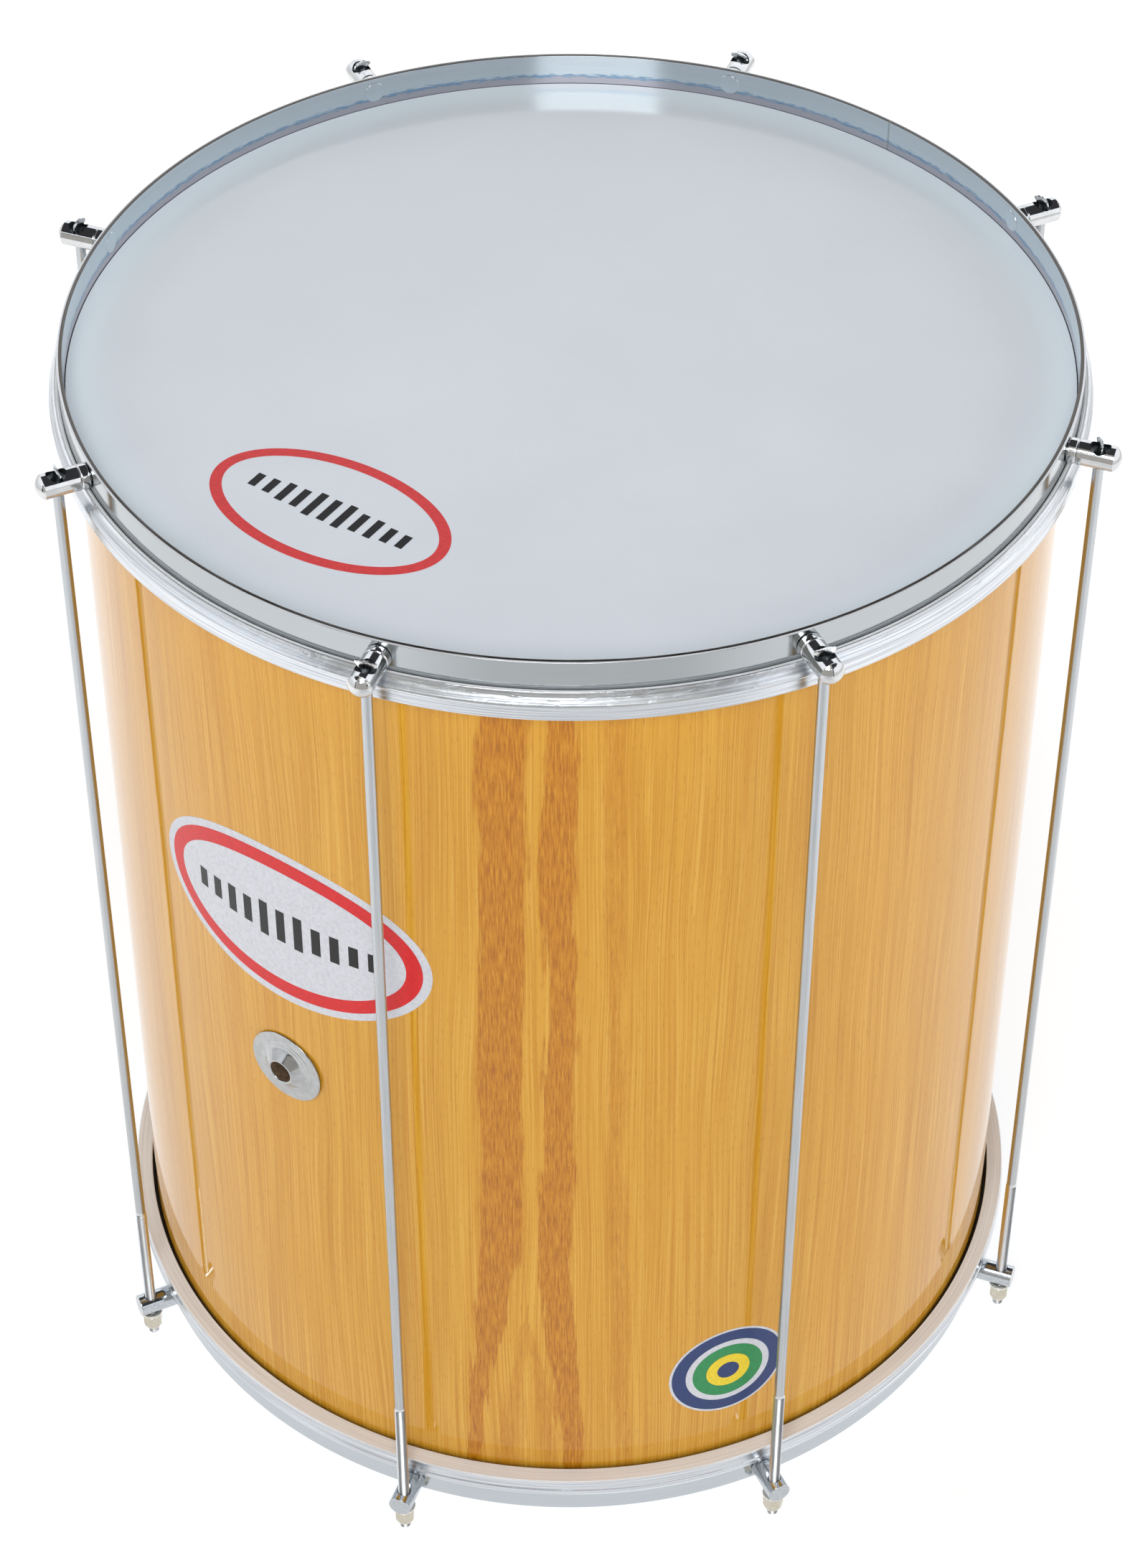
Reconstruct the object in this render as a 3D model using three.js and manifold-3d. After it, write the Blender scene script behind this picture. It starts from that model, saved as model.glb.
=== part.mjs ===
// A surdo, the deep bass drum of the samba band: a wooden shell with a film head at each end,
// held between two flat steel hoops that eight long tension rods pull together.
// Millimetres, +Z up, origin on the floor under the drum's axis. The drum stands on its rod tips.
import * as THREE from "three";
import { mergeVertices } from "three/addons/utils/BufferGeometryUtils.js";
import Module from "manifold-3d";

const wasm = await Module();
wasm.setup();

// Clearances between pieces that touch, and how far a cutting tool runs past the face it opens
const clearance = 0.3;
const overrun = 1.5;

// Roundness: sides of the large rings, of the lugs and rods, and of the vent fitting
const ringSides = 64;
const barSides = 12;
const ventSides = 32;

// Shell: a plywood tube with a flat land and an inner bevel at each bearing edge
const shellDiameter = 508;
const shellHeight = 600;
const shellWall = 6.5;
const bearingLand = 2;
const bearingBevelHeight = 4;
const bearingEasing = 1.2;

// Head: a film that folds over the bearing edge and runs out into the flesh hoop's groove
const filmThickness = 0.5;
const collarGap = 0.4;
const collarDepth = 10.1;
const collarBend = 1.7;
const filmTuck = 7.3;

// Steel counter hoop: a flat strip on edge, which stands off the shell and rises above the head
const hoopStandoff = 3.4;
const hoopThickness = 2.8;
const hoopHeight = 19.6;
const hoopRise = 18.5;
const hoopEasing = 0.6;

// Aluminium flesh hoop: a ribbed extrusion that carries the counter hoop and holds the film
const fleshHeight = 15.5;
const fleshSeatDepth = 4.5;
const fleshLipWall = 2.1;
const fleshLedgeWall = 2.7;
const fleshLedgeDrop = 2.4;
const fleshSlopeRun = 2.8;
const fleshSlopeDrop = 6.4;
const fleshBeadHeight = 1.6;
const fleshBeadProud = 0.6;

// Tension stations around the rim, and how far the rods stand off the counter hoop
const stationCount = 8;
const firstStationAngle = Math.PI / stationCount;
const rodStandoff = 15.8;

// Lugs: turned bars riveted through the counter hoop
const lugDiameter = 13;
const lugInset = 8.6;
const topLugOverhang = 8.2;
const topLugDome = 3;
const bottomLugOverhang = 7.3;
const lugGrooveInset = 4.4;
const lugGrooveWidth = 1;
const lugGrooveDepth = 0.5;
const lugChamfer = 0.5;
const rivetDiameter = 8;
const rivetProud = 0.2;
const domeShares = [
  [0.86, 0.48],
  [0.5, 0.87],
];

// Tension rods: a plain shank, a threaded lower end and a head hammered flat like a fishtail
const threadDiameter = 6.35;
const threadGrowth = 0.75;
const threadLength = 108;
const threadRunout = 1;
const rodTipChamfer = 0.9;
const rodProtrusion = 5;
const fishtailWidth = 9.5;
const fishtailThickness = 2.2;
const fishtailRise = 3.1;
const fishtailDrop = 3.4;
const fishtailCrown = 1.4;
const countersinkEase = 1.1;
const countersinkDepth = 3;
const shankHoleEase = 0.05;
const threadHoleEase = 1.05;

// Tension nuts and their washers, under the bottom lugs
const nutAcrossFlats = 10;
const nutHeight = 12;
const nutTaperHeight = 5.5;
const nutTipWall = 0.725;
const nutCornerChamfer = 0.7;
const washerDiameter = 12.5;
const washerThickness = 1.6;

// Vent fitting: a flanged tube through the shell, with a ring nut inside
const ventAngle = THREE.MathUtils.degToRad(-38.4);
const ventBelowMiddle = 8;
const ventFlangeDiameter = 45;
const ventFlangeEdge = 0.8;
const ventStepDiameter = 35;
const ventStepHeight = 1.3;
const ventInnerStepDiameter = 28.4;
const ventInnerStepHeight = 1.8;
const ventBossFootDiameter = 23;
const ventBossTopWall = 1.1;
const ventBossHeight = 6.2;
const ventBore = 12.4;
const ventTubeDiameter = 16;
const ventTubeTail = 6;
const ventNutDiameter = 26;
const ventNutThickness = 4;

// Radii, worked outwards from the shell
const shellRadius = shellDiameter / 2;
const collarRadius = shellRadius + collarGap + filmThickness;
const hoopBoreRadius = shellRadius + hoopStandoff;
const hoopRadius = hoopBoreRadius + hoopThickness;
const fleshLipRadius = hoopRadius + clearance;
const fleshRadius = fleshLipRadius + fleshLedgeWall + fleshSlopeRun;
const rodCircleRadius = hoopRadius + rodStandoff;
const lugRadius = lugDiameter / 2;

// Holes and bars that are sized by the thread
const threadRadius = threadDiameter / 2;
const rodRadius = threadRadius - threadGrowth / 2;
const shankHoleRadius = threadRadius + shankHoleEase / 2;
const threadHoleRadius = threadRadius + threadHoleEase / 2;
const nutBoreRadius = threadRadius + clearance;
const nutTipRadius = threadRadius + nutTipWall;
const countersinkRadius = (fishtailWidth + countersinkEase) / 2;

// Heights, worked upwards from the rod tips on the floor
const nutBottom = rodProtrusion;
const nutTop = nutBottom + nutHeight;
const washerBottom = nutTop + clearance;
const washerTop = washerBottom + washerThickness;
const bottomLugAxis = washerTop + clearance + lugRadius;
const bottomRimEdge = bottomLugAxis - lugInset;
const bottomBearingEdge = bottomRimEdge + hoopRise;
const topBearingEdge = bottomBearingEdge + shellHeight;
const topRimEdge = topBearingEdge + hoopRise;
const topLugAxis = topRimEdge - lugInset;
const shellMiddle = bottomBearingEdge + shellHeight / 2;

// Finishes
const finish = (color, roughness, metalness) =>
  new THREE.MeshStandardMaterial({ color, roughness, metalness });
const honeyWood = finish(0xd7a55f, 0.25, 0);
const milkyFilm = finish(0xcbd1d9, 0.3, 0);
const steel = finish(0xb4bac0, 0.25, 1);
const aluminium = finish(0xd8dadc, 0.35, 1);
const chrome = finish(0xe2e4e8, 0.08, 1);
const zinc = finish(0xb4bcc2, 0.4, 1);
const rodSteel = finish(0xbec4c8, 0.3, 1);
const nickel = finish(0xc8c4b4, 0.35, 1);

// A closed geometry, where it stands, as a solid that can be joined or cut
function solidFrom(geometry) {
  const loose = geometry.index ? geometry.toNonIndexed() : geometry;
  const bare = new THREE.BufferGeometry();
  bare.setAttribute("position", loose.getAttribute("position"));
  const welded = mergeVertices(bare);
  const corners = welded.index.array;
  const triVerts = [];
  for (let i = 0; i < corners.length; i += 3) {
    const [a, b, c] = corners.slice(i, i + 3);
    if (a !== b && b !== c && c !== a) triVerts.push(a, b, c);
  }
  const mesh = new wasm.Mesh({
    numProp: 3,
    vertProperties: welded.getAttribute("position").array,
    triVerts: Uint32Array.from(triVerts),
  });
  return new wasm.Manifold(mesh);
}

function geometryFrom(solid) {
  const { vertProperties, triVerts } = solid.getMesh();
  const geometry = new THREE.BufferGeometry();
  geometry.setAttribute("position", new THREE.BufferAttribute(vertProperties, 3));
  geometry.setIndex(new THREE.BufferAttribute(triVerts, 1));
  return geometry;
}

// A profile of [radius, height] points turned about the Y axis
function turned(profile, sides) {
  const points = profile.map(([radius, height]) => new THREE.Vector2(radius, height));
  return new THREE.LatheGeometry(points, sides);
}

// The same, standing up: turned about the Z axis
const turnedUpright = (profile, sides) => turned(profile, sides).rotateX(Math.PI / 2);

const closed = (profile) => [...profile, profile[0]];

function node(name, geometry, material) {
  const mesh = new THREE.Mesh(geometry, material);
  mesh.name = name;
  return mesh;
}

// A straight bar between two heights on its own axis, used to cut holes
const bar = (radius, low, high, sides) =>
  turned([[0, low], [radius, low], [radius, high], [0, high]], sides);

// Angle of a tension station, measured from the front (-Y) towards +X
const stationAngle = (index) => firstStationAngle + (index * 2 * Math.PI) / stationCount;

// Ring profiles are drawn once for the top of the drum: each point is [radius, height above
// the bearing edge]. At the bottom of the drum the same ring hangs upside down.
function rimRing(profile, upward) {
  const side = upward ? 1 : -1;
  const edge = upward ? topBearingEdge : bottomBearingEdge;
  const placed = profile.map(([radius, height]) => [radius, edge + side * height]);
  if (!upward) placed.reverse();
  return turnedUpright(placed, ringSides);
}

function shellGeometry() {
  const inner = shellRadius - shellWall;
  const low = bottomBearingEdge;
  const high = topBearingEdge;
  const landInner = shellRadius - bearingEasing - bearingLand;
  const landOuter = shellRadius - bearingEasing;
  const tube = turnedUpright(
    closed([
      [landOuter, low],
      [shellRadius, low + bearingEasing],
      [shellRadius, high - bearingEasing],
      [landOuter, high],
      [landInner, high],
      [inner, high - bearingBevelHeight],
      [inner, low + bearingBevelHeight],
      [landInner, low],
    ]),
    ringSides,
  );
  const holeRadius = ventTubeDiameter / 2 + clearance;
  const reach = shellWall + overrun;
  const hole = bar(holeRadius, -reach, overrun, ventSides);
  hole.rotateX(Math.PI);
  hole.translate(0, -shellRadius, shellMiddle - ventBelowMiddle);
  hole.rotateZ(ventAngle);
  return geometryFrom(solidFrom(tube).subtract(solidFrom(hole)));
}

function headGeometry(upward) {
  const under = clearance;
  const face = under + filmThickness;
  const collarInner = collarRadius - filmThickness;
  const tuckRadius = collarRadius + filmTuck - clearance;
  const tuckBottom = -collarDepth;
  const tuckTop = tuckBottom + filmThickness;
  return rimRing(
    [
      [0, under],
      [collarInner - collarBend + clearance, under],
      [collarInner, under - collarBend + clearance],
      [collarInner, tuckBottom],
      [tuckRadius, tuckBottom],
      [tuckRadius, tuckTop],
      [collarRadius, tuckTop],
      [collarRadius, face - collarBend],
      [collarRadius - collarBend, face],
      [0, face],
    ],
    upward,
  );
}

function counterHoopGeometry(upward) {
  const low = hoopRise - hoopHeight;
  const strip = rimRing(
    closed([
      [hoopBoreRadius, low],
      [hoopRadius, low],
      [hoopRadius, hoopRise - hoopEasing],
      [hoopRadius - hoopEasing, hoopRise],
      [hoopBoreRadius + hoopEasing, hoopRise],
      [hoopBoreRadius, hoopRise - hoopEasing],
    ]),
    upward,
  );
  const holeRadius = rivetDiameter / 2 + clearance;
  let hoop = solidFrom(strip);
  for (let index = 0; index < stationCount; index += 1) {
    const hole = bar(holeRadius, -overrun, hoopThickness + overrun, barSides);
    hole.rotateX(Math.PI);
    hole.translate(0, -hoopBoreRadius, upward ? topLugAxis : bottomLugAxis);
    hole.rotateZ(stationAngle(index));
    hoop = hoop.subtract(solidFrom(hole));
  }
  return geometryFrom(hoop);
}

function fleshHoopGeometry(upward) {
  const seat = hoopRise - hoopHeight - clearance;
  const top = seat + fleshSeatDepth;
  const bottom = top - fleshHeight;
  const wall = fleshRadius - fleshBeadProud;
  const beadTop = top - fleshSlopeDrop;
  const beadBottom = beadTop - fleshBeadHeight;
  const grooveTop = -collarDepth + filmThickness + clearance;
  const grooveBottom = -collarDepth - clearance;
  const grooveRadius = collarRadius + filmTuck;
  return rimRing(
    closed([
      [hoopBoreRadius, bottom],
      [wall, bottom],
      [wall, beadBottom - fleshBeadProud],
      [fleshRadius, beadBottom],
      [fleshRadius, beadTop],
      [fleshLipRadius + fleshLedgeWall, top - fleshLedgeDrop],
      [fleshLipRadius + fleshLipWall, top],
      [fleshLipRadius, top],
      [fleshLipRadius, seat],
      [hoopBoreRadius, seat],
      [hoopBoreRadius, grooveTop],
      [grooveRadius, grooveTop],
      [grooveRadius, grooveBottom],
      [hoopBoreRadius, grooveBottom],
    ]),
    upward,
  );
}

// Lugs lie along the station's outward direction, drawn as [radius, distance from the hoop's face]
const rivetFoot = -hoopThickness - rivetProud;

function topLugGeometry() {
  const rivetRadius = rivetDiameter / 2;
  const face = clearance;
  const groove = face + lugGrooveInset;
  const end = rodStandoff + topLugOverhang;
  const body = turned(
    [
      [0, rivetFoot],
      [rivetRadius, rivetFoot],
      [rivetRadius, face],
      [lugRadius - lugChamfer, face],
      [lugRadius, face + lugChamfer],
      [lugRadius, groove - lugGrooveWidth / 2],
      [lugRadius - lugGrooveDepth, groove],
      [lugRadius, groove + lugGrooveWidth / 2],
      [lugRadius, end],
      ...domeShares.map(([r, h]) => [r * lugRadius, end + h * topLugDome]),
      [0, end + topLugDome],
    ],
    barSides,
  );
  const reach = lugRadius + overrun;
  const hole = bar(shankHoleRadius, -reach, reach, barSides);
  const sinkFoot = lugRadius - countersinkDepth;
  const sinkSlope = (countersinkRadius - shankHoleRadius) / countersinkDepth;
  const sink = turned(
    [
      [0, sinkFoot],
      [shankHoleRadius, sinkFoot],
      [countersinkRadius + sinkSlope * overrun, lugRadius + overrun],
      [0, lugRadius + overrun],
    ],
    barSides,
  );
  for (const tool of [hole, sink]) {
    tool.rotateX(-Math.PI / 2);
    tool.translate(0, rodStandoff, 0);
  }
  return geometryFrom(solidFrom(body).subtract(solidFrom(hole)).subtract(solidFrom(sink)));
}

function bottomLugGeometry() {
  const rivetRadius = rivetDiameter / 2;
  const end = rodStandoff + bottomLugOverhang;
  const body = turned(
    [
      [0, rivetFoot],
      [rivetRadius, rivetFoot],
      [rivetRadius, clearance],
      [lugRadius - lugChamfer, clearance],
      [lugRadius, clearance + lugChamfer],
      [lugRadius, end - lugChamfer],
      [lugRadius - lugChamfer, end],
      [0, end],
    ],
    barSides,
  );
  const reach = lugRadius + overrun;
  const hole = bar(threadHoleRadius, -reach, reach, barSides);
  hole.rotateX(Math.PI / 2);
  hole.translate(0, rodStandoff, 0);
  return geometryFrom(solidFrom(body).subtract(solidFrom(hole)));
}

function rodGeometry() {
  const fishtailFoot = topLugAxis + lugRadius - fishtailDrop;
  const fishtailTop = topLugAxis + lugRadius + fishtailRise;
  const stem = turnedUpright(
    [
      [0, 0],
      [threadRadius - rodTipChamfer, 0],
      [threadRadius, rodTipChamfer],
      [threadRadius, threadLength - threadRunout],
      [rodRadius, threadLength],
      [rodRadius, fishtailFoot],
      [0, fishtailFoot],
    ],
    barSides,
  );
  const outline = new THREE.Shape();
  outline.moveTo(-rodRadius, fishtailFoot - overrun);
  outline.lineTo(rodRadius, fishtailFoot - overrun);
  outline.lineTo(rodRadius, fishtailFoot);
  outline.lineTo(fishtailWidth / 2, fishtailTop - fishtailCrown);
  outline.quadraticCurveTo(fishtailWidth / 2, fishtailTop, 0, fishtailTop);
  outline.quadraticCurveTo(
    -fishtailWidth / 2,
    fishtailTop,
    -fishtailWidth / 2,
    fishtailTop - fishtailCrown,
  );
  outline.lineTo(-rodRadius, fishtailFoot);
  const fishtail = new THREE.ExtrudeGeometry(outline, {
    depth: fishtailThickness,
    bevelEnabled: false,
    curveSegments: 4,
  });
  fishtail.rotateX(Math.PI / 2);
  fishtail.translate(0, fishtailThickness / 2, 0);
  return geometryFrom(solidFrom(stem).add(solidFrom(fishtail)));
}

function nutGeometry() {
  const corner = nutAcrossFlats / Math.sqrt(3);
  const taperTop = nutBottom + nutTaperHeight;
  const hexagon = new THREE.CylinderGeometry(corner, corner, nutHeight, 6);
  hexagon.rotateX(Math.PI / 2);
  hexagon.translate(0, 0, nutBottom + nutHeight / 2);
  const envelope = turnedUpright(
    [
      [0, nutBottom],
      [nutTipRadius, nutBottom],
      [corner, taperTop],
      [corner, nutTop - nutCornerChamfer],
      [corner - nutCornerChamfer, nutTop],
      [0, nutTop],
    ],
    barSides,
  );
  const bore = bar(nutBoreRadius, nutBottom - overrun, nutTop + overrun, barSides);
  bore.rotateX(Math.PI / 2);
  return geometryFrom(
    solidFrom(hexagon).intersect(solidFrom(envelope)).subtract(solidFrom(bore)),
  );
}

function washerGeometry() {
  const rim = washerDiameter / 2;
  return turnedUpright(
    closed([
      [threadHoleRadius, washerBottom],
      [rim, washerBottom],
      [rim, washerTop],
      [threadHoleRadius, washerTop],
    ]),
    barSides,
  );
}

// The vent fitting is drawn as [radius, distance out from the shell's surface]
function ventFlangeGeometry() {
  const back = clearance;
  const tube = ventTubeDiameter / 2;
  const bore = ventBore / 2;
  const tail = -shellWall - ventTubeTail;
  return turned(
    closed([
      [bore, tail],
      [tube, tail],
      [tube, back],
      [ventFlangeDiameter / 2, back],
      [ventFlangeDiameter / 2, back + ventFlangeEdge],
      [ventStepDiameter / 2, ventStepHeight],
      [ventInnerStepDiameter / 2, ventInnerStepHeight],
      [ventBossFootDiameter / 2, ventInnerStepHeight],
      [bore + ventBossTopWall, ventBossHeight],
      [bore, ventBossHeight],
    ]),
    ventSides,
  );
}

// The ring nut's flat face meets the hollow side of the wall at its rim
function ventNutGeometry() {
  const bore = ventTubeDiameter / 2 + clearance;
  const rim = ventNutDiameter / 2;
  const wallRadius = (shellRadius - shellWall) * Math.cos(Math.PI / ringSides);
  const near = Math.sqrt(wallRadius ** 2 - rim ** 2) - shellRadius - clearance;
  return turned(
    closed([
      [bore, near - ventNutThickness],
      [rim, near - ventNutThickness],
      [rim, near],
      [bore, near],
    ]),
    ventSides,
  );
}

const surdo = new THREE.Group();

surdo.add(node("shell", shellGeometry(), honeyWood));
for (const upward of [true, false]) {
  const end = upward ? "top" : "bottom";
  surdo.add(node(`${end}_head`, headGeometry(upward), milkyFilm));
  surdo.add(node(`${end}_counter_hoop`, counterHoopGeometry(upward), steel));
  surdo.add(node(`${end}_flesh_hoop`, fleshHoopGeometry(upward), aluminium));
}

// Each station is a group whose own -Y points outwards from the drum's axis
const topLug = topLugGeometry();
const bottomLug = bottomLugGeometry();
const rod = rodGeometry();
const nut = nutGeometry();
const washer = washerGeometry();
for (let index = 0; index < stationCount; index += 1) {
  const station = new THREE.Group();
  station.rotation.z = stationAngle(index);
  const number = index + 1;
  const upper = node(`top_lug_${number}`, topLug, chrome);
  upper.position.set(0, -hoopRadius, topLugAxis);
  upper.rotation.x = Math.PI;
  const lower = node(`bottom_lug_${number}`, bottomLug, zinc);
  lower.position.set(0, -hoopRadius, bottomLugAxis);
  lower.rotation.x = Math.PI;
  station.add(upper, lower);
  const onRod = new THREE.Group();
  onRod.position.y = -rodCircleRadius;
  onRod.add(node(`tension_rod_${number}`, rod, rodSteel));
  onRod.add(node(`tension_nut_${number}`, nut, nickel));
  onRod.add(node(`washer_${number}`, washer, zinc));
  station.add(onRod);
  surdo.add(station);
}

const vent = new THREE.Group();
vent.rotation.z = ventAngle;
const ventFlange = node("vent_flange", ventFlangeGeometry(), chrome);
const ventNut = node("vent_ring_nut", ventNutGeometry(), nickel);
for (const piece of [ventFlange, ventNut]) {
  piece.position.set(0, -shellRadius, shellMiddle - ventBelowMiddle);
  piece.rotation.x = Math.PI;
  vent.add(piece);
}
surdo.add(vent);

export default surdo;
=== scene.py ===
# %% [markdown]
# # A surdo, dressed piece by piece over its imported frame
# A surdo is the deep bass drum of a samba band: a tall wooden shell, a milky film head at each end
# and two flat steel hoops, which eight long rods pull towards each other. The frame gives the exact
# place of every solid. Here each one is replaced by a finer piece on the same spot, and every
# surface gets a finish wired from nodes. We load the frame first, because all lengths follow it.

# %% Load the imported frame
import math
import random

import bmesh
import bpy
from mathutils import Matrix, Vector


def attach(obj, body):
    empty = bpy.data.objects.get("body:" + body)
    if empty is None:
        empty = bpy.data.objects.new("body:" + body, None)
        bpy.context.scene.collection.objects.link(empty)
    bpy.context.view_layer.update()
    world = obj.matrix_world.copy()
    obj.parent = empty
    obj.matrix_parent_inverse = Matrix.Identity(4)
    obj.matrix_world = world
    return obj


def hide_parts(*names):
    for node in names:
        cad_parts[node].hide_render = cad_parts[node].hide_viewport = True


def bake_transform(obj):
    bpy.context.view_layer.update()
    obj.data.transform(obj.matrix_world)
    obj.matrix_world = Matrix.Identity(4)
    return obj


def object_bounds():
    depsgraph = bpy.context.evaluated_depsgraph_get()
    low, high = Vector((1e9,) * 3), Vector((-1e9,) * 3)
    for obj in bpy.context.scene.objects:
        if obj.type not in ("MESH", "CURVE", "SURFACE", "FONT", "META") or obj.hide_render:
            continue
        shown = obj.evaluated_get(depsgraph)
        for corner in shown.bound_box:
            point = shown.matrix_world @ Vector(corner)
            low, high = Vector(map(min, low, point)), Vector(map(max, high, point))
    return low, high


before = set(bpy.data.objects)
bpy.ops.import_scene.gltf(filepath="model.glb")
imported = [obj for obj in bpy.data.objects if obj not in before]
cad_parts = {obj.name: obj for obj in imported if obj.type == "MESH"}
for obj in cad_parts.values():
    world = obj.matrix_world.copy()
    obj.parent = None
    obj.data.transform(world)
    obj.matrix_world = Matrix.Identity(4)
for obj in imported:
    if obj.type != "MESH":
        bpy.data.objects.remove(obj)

CAD_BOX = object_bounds()
print("CAD box in metres:", [tuple(round(c, 4) for c in corner) for corner in CAD_BOX])

# %% [markdown]
# ## The camera
# The photograph looks down on the drum with a long lens. The camera's height, distance and turn
# were worked out from the round rims and the straight rods, so we only write them down here: three
# small angles, a place, and a rotation about the drum's axis, because the drum in the picture is
# turned a little from the frame's own front.

# %% Camera
MM = 0.001


def placed(name, data):
    """A new object in the scene."""
    thing = bpy.data.objects.new(name, data)
    bpy.context.scene.collection.objects.link(thing)
    return thing


camera_data = bpy.data.cameras.new("camera")
camera_data.lens = 86.7995
camera_data.sensor_width = 36
camera = placed("camera", camera_data)
bpy.context.scene.camera = camera

yaw, pitch, roll = 0.00129, 0.74494, 0.00283
ahead = Vector((math.sin(yaw) * math.cos(pitch), math.cos(yaw) * math.cos(pitch), -math.sin(pitch)))
right = Vector((math.cos(yaw), -math.sin(yaw), 0))
above = right.cross(ahead)
right, above = (
    right * math.cos(roll) + above * math.sin(roll),
    above * math.cos(roll) - right * math.sin(roll),
)
aim = Matrix((right, above, -ahead)).transposed().to_4x4()
stand = Matrix.Translation((0, -1567.159 * MM, 1784.49 * MM))
camera.matrix_world = Matrix.Rotation(math.radians(-2.5987), 4, "Z") @ stand @ aim
print("camera at", tuple(round(c, 4) for c in camera.matrix_world.translation))

# %% [markdown]
# ## A small tool for wiring nodes
# The world and every finish below are made of nodes, and each finish is a Principled shader with a
# few texture nodes before it. Wiring them by hand takes three lines a node, so one class keeps a
# node tree and turns each node into one call that gives back its output socket. All finishes read
# Object coordinates in millimetres: the pieces keep their place in the mesh, so a pattern stays put
# whatever the drum does.


# %% The wiring tool
class Wiring:
    """A node tree. Each method adds a node and gives back the socket that comes out of it."""

    def __init__(self, tree):
        self.tree = tree

    def wire(self, value, socket):
        """Puts a constant on a socket, or links another node's socket to it."""
        if isinstance(value, bpy.types.NodeSocket):
            self.tree.links.new(value, socket)
        elif isinstance(value, tuple) and len(value) == 3 and socket.type == "RGBA":
            socket.default_value = (*value, 1)
        else:
            socket.default_value = value

    def add(self, kind, *inputs, **settings):
        """The node itself, with its settings made and its inputs wired in order."""
        node = self.tree.nodes.new(kind)
        for key, value in settings.items():
            setattr(node, key, value)
        for socket, value in zip(node.inputs, inputs):
            if value is not None:
                self.wire(value, socket)
        return node

    def sum(self, operation, a, b=0.0):
        """One step of arithmetic on numbers."""
        return self.add("ShaderNodeMath", a, b, operation=operation).outputs[0]

    def plus(self, a, b):
        return self.sum("ADD", a, b)

    def minus(self, a, b):
        return self.sum("SUBTRACT", a, b)

    def times(self, a, b):
        return self.sum("MULTIPLY", a, b)

    def over(self, a, b):
        return self.sum("DIVIDE", a, b)

    def range(self, value, low, high, to_low=0.0, to_high=1.0):
        """Maps low..high onto to_low..to_high, smoothly, and stops at both ends."""
        node = self.add("ShaderNodeMapRange", value, low, high, to_low, to_high)
        node.interpolation_type = "SMOOTHSTEP"
        return node.outputs[0]

    def mix(self, factor, a, b):
        node = self.add("ShaderNodeMix", data_type="RGBA")
        for socket, value in ((node.inputs[0], factor), (node.inputs[6], a), (node.inputs[7], b)):
            self.wire(value, socket)
        return node.outputs[2]


class Finish(Wiring):
    """One material, with the textures and places that its patterns read."""

    def __init__(self, name, **constants):
        self.material = bpy.data.materials.new(name)
        self.material.use_nodes = True
        super().__init__(self.material.node_tree)
        self.shader = self.tree.nodes["Principled BSDF"]
        for socket, value in constants.items():
            self.set(socket.replace("_", " "), value)

    def set(self, socket, value):
        """Puts a constant on the shader's own socket, or links a pattern to it."""
        self.wire(value, self.shader.inputs[socket])

    def here(self):
        """The point on the piece, in millimetres."""
        in_metres = self.add("ShaderNodeTexCoord").outputs["Object"]
        in_mm = self.add("ShaderNodeVectorMath", in_metres, operation="SCALE")
        in_mm.inputs["Scale"].default_value = 1 / MM
        return in_mm.outputs[0]

    def place(self):
        """Across, along and up in millimetres, as three sockets."""
        return self.add("ShaderNodeSeparateXYZ", self.here()).outputs

    def ring_place(self, radius):
        """Way round the drum from the front, way out from the axis, and height, all in mm."""
        x, y, up = self.place()
        angle = self.sum("ARCTAN2", x, self.times(y, -1.0))
        squares = self.plus(self.times(x, x), self.times(y, y))
        return self.times(angle, radius), self.sum("SQRT", squares), up

    def grid(self, x, y, z=0.0):
        """A point to read a texture at, with each way already scaled."""
        return self.add("ShaderNodeCombineXYZ", x, y, z).outputs[0]

    def spots(self, *ways):
        """A point to read a texture at; each way comes with the size of its spots in mm."""
        return self.grid(*(self.over(way, size) for way, size in ways))

    def noise(self, where, scale=1.0, detail=2.0, rough=0.5):
        node = self.add("ShaderNodeTexNoise")
        self.wire(where, node.inputs["Vector"])
        for socket, value in (("Scale", scale), ("Detail", detail), ("Roughness", rough)):
            node.inputs[socket].default_value = value
        return node.outputs["Fac"]

    def ramp(self, value, *stops):
        """Colours at given places between 0 and 1."""
        node = self.add("ShaderNodeValToRGB", value)
        points = node.color_ramp.elements
        while len(points) < len(stops):
            points.new(0.5)
        for point, (where, colour) in zip(points, stops):
            point.position = where
            point.color = (*colour, 1)
        return node.outputs["Color"]

    def bump(self, height, strength, depth_mm, after=None):
        """A surface that rises with height, up to depth_mm."""
        node = self.add("ShaderNodeBump")
        self.wire(height, node.inputs["Height"])
        node.inputs["Strength"].default_value = strength
        node.inputs["Distance"].default_value = depth_mm * MM
        if after is not None:
            self.wire(after, node.inputs["Normal"])
        return node.outputs["Normal"]


print("wiring tool ready")

# %% [markdown]
# ## Light
# Polished metal shows its surroundings more than its own colour, so the studio matters as much as
# the finishes. The reflections in the lugs tell what stood there: a white floor, bright walls, the
# right one brighter, a dark ceiling, a dim gap behind the camera with a lit band across it, and one
# large soft light above. Walls, ceiling and gap become a world that changes with direction, the
# soft light an area light, and the floor a large pale disc.

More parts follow.
